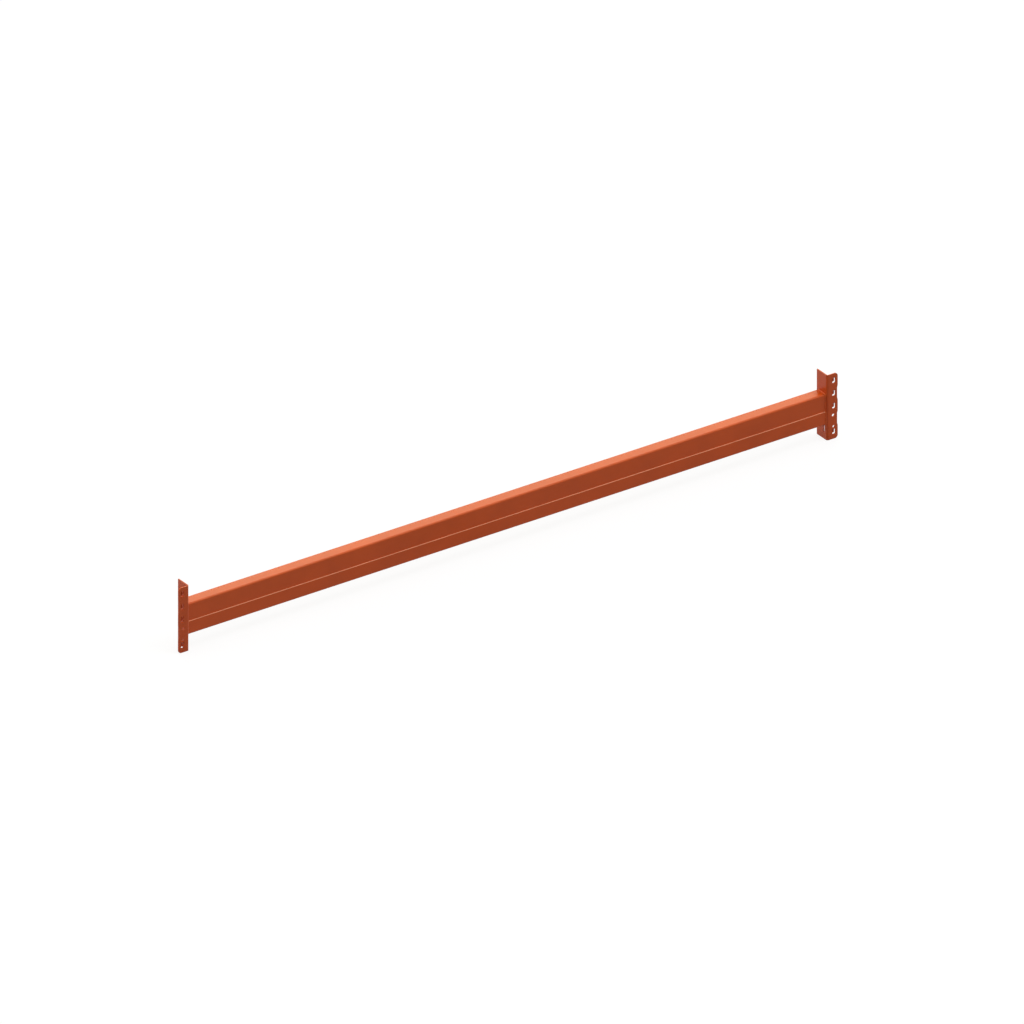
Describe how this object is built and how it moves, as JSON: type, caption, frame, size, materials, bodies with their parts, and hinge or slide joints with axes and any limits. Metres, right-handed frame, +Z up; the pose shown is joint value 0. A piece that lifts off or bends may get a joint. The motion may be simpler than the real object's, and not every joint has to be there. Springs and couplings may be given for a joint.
{
  "type": "pallet rack beam",
  "caption": "Pallet rack beam with a box section of nested roll-formed channels and folded hook connectors welded to its ends.",
  "frame": {"origin": "middle of the footprint, level with the lower edges of the end connectors", "axes": "+X along the beam, +Y from the aisle side to the rack side, +Z up"},
  "size_m": [2.79, 0.0624, 0.255],
  "materials": {
    "powder_coat": "smooth semi-gloss orange powder coat on steel",
    "painted_weld": "rippled weld bead under the same orange coat"
  },
  "bodies": {
    "root": {"upper_channel": "powder_coat", "lower_channel": "powder_coat", "left_connector": "powder_coat", "left_top_weld": "painted_weld", "left_front_weld": "painted_weld", "left_back_weld": "painted_weld", "left_bottom_weld": "painted_weld", "right_connector": "powder_coat", "right_top_weld": "painted_weld", "right_front_weld": "painted_weld", "right_back_weld": "painted_weld", "right_bottom_weld": "painted_weld"}
  },
  "joints": []
}
